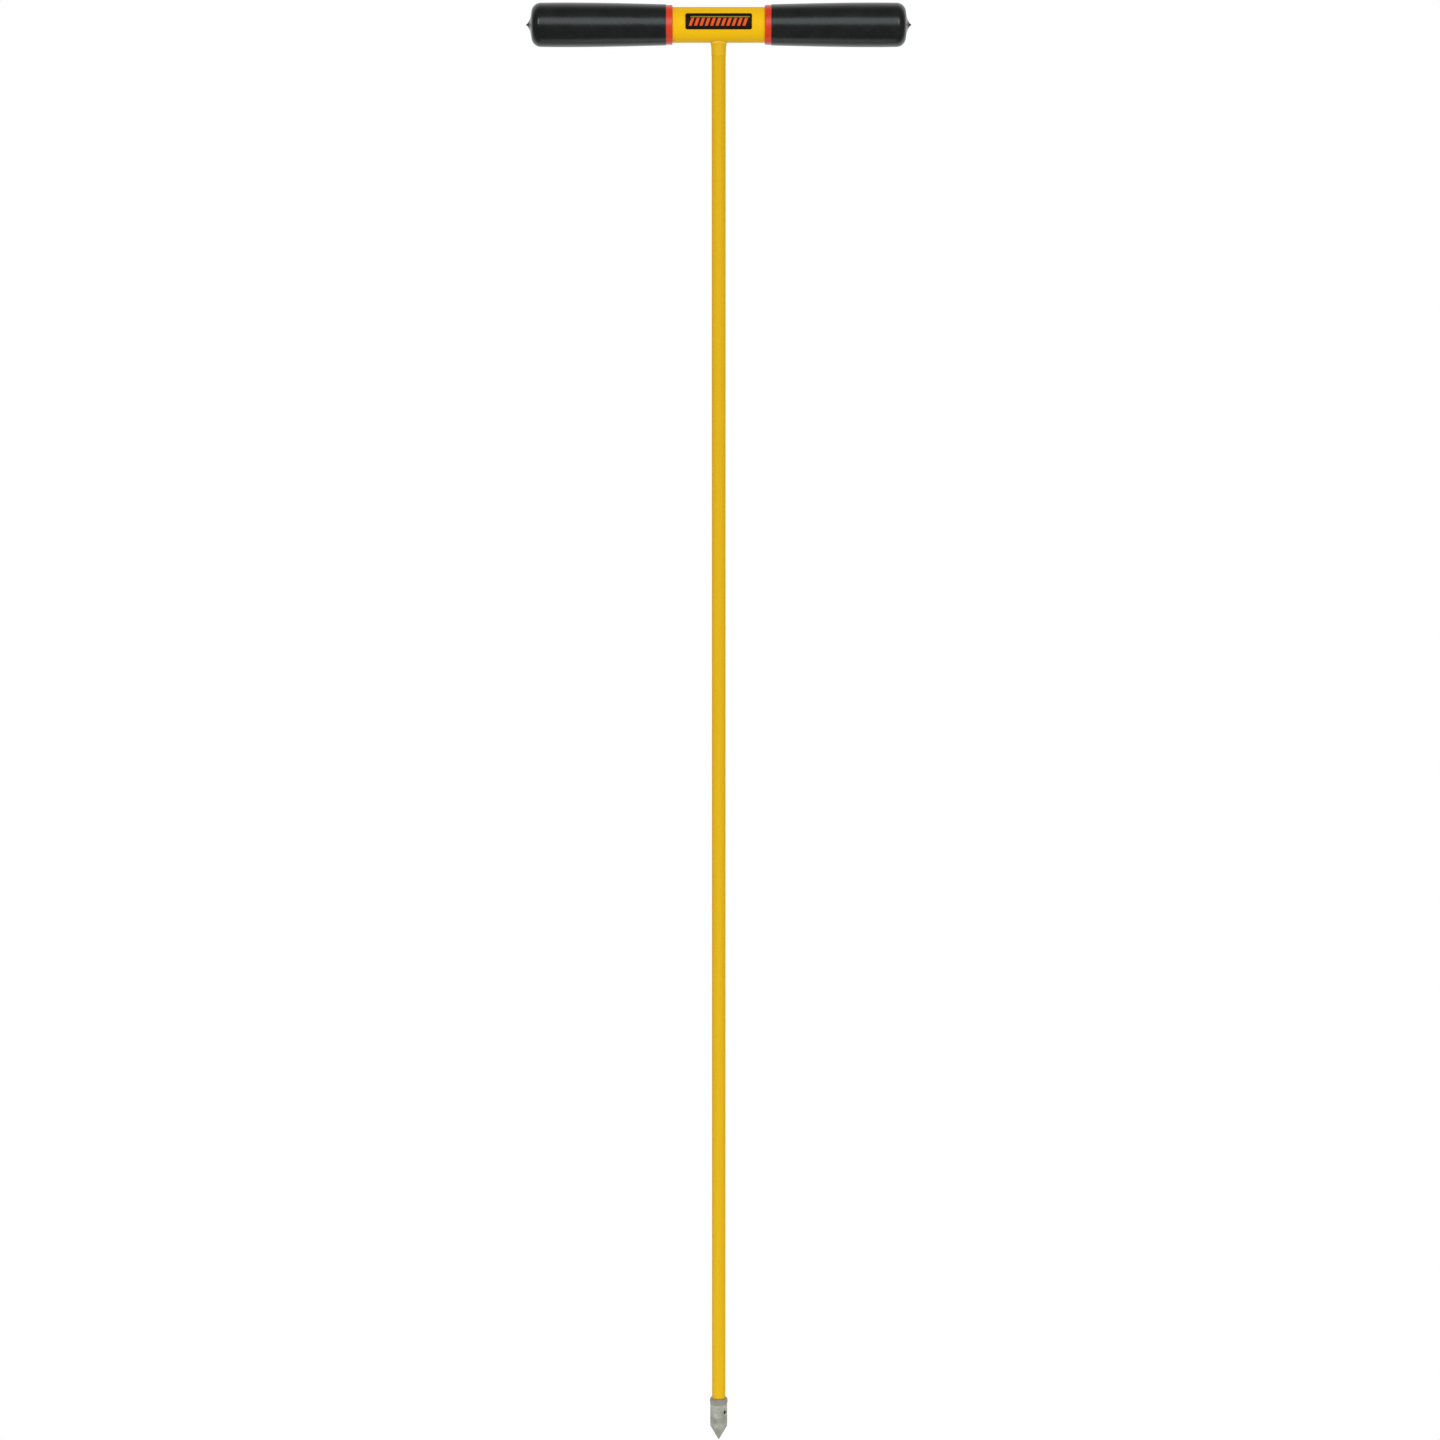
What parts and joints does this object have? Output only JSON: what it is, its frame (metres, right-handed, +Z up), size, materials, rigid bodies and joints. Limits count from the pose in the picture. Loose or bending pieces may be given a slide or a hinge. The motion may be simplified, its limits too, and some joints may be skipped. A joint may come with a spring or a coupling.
{
  "type": "soil probe",
  "caption": "T-handled soil probe: a long slim fibreglass rod with a pinned steel point below, and a cross tube with dip-coated grips for pushing it into the ground by hand.",
  "frame": {"origin": "where the rod's axis crosses the handle's axis, inside the cross tube", "axes": "+Z up along the rod, from the point towards the handle; X along the handle, with the right grip at +X; the front with the label faces -Y"},
  "size_m": [0.3166, 0.0364, 1.2192],
  "materials": {
    "yellow_fibreglass": "satin",
    "yellow_adhesive": "gloss",
    "inner_resin": "matte",
    "orange_dip": "satin",
    "black_dip": "satin",
    "label_film": "satin",
    "tip_steel": "satin",
    "pin_steel": "satin"
  },
  "bodies": {
    "root": {"cross_tube": "yellow_fibreglass", "joint_plug": "inner_resin", "left_end_plug": "inner_resin", "right_end_plug": "inner_resin", "left_under_grip": "orange_dip", "right_under_grip": "orange_dip", "left_grip": "black_dip", "right_grip": "black_dip", "front_label": "label_film", "probe_rod": "yellow_fibreglass", "joint_bead": "yellow_adhesive", "steel_tip": "tip_steel", "tip_pin": "pin_steel"}
  },
  "joints": []
}
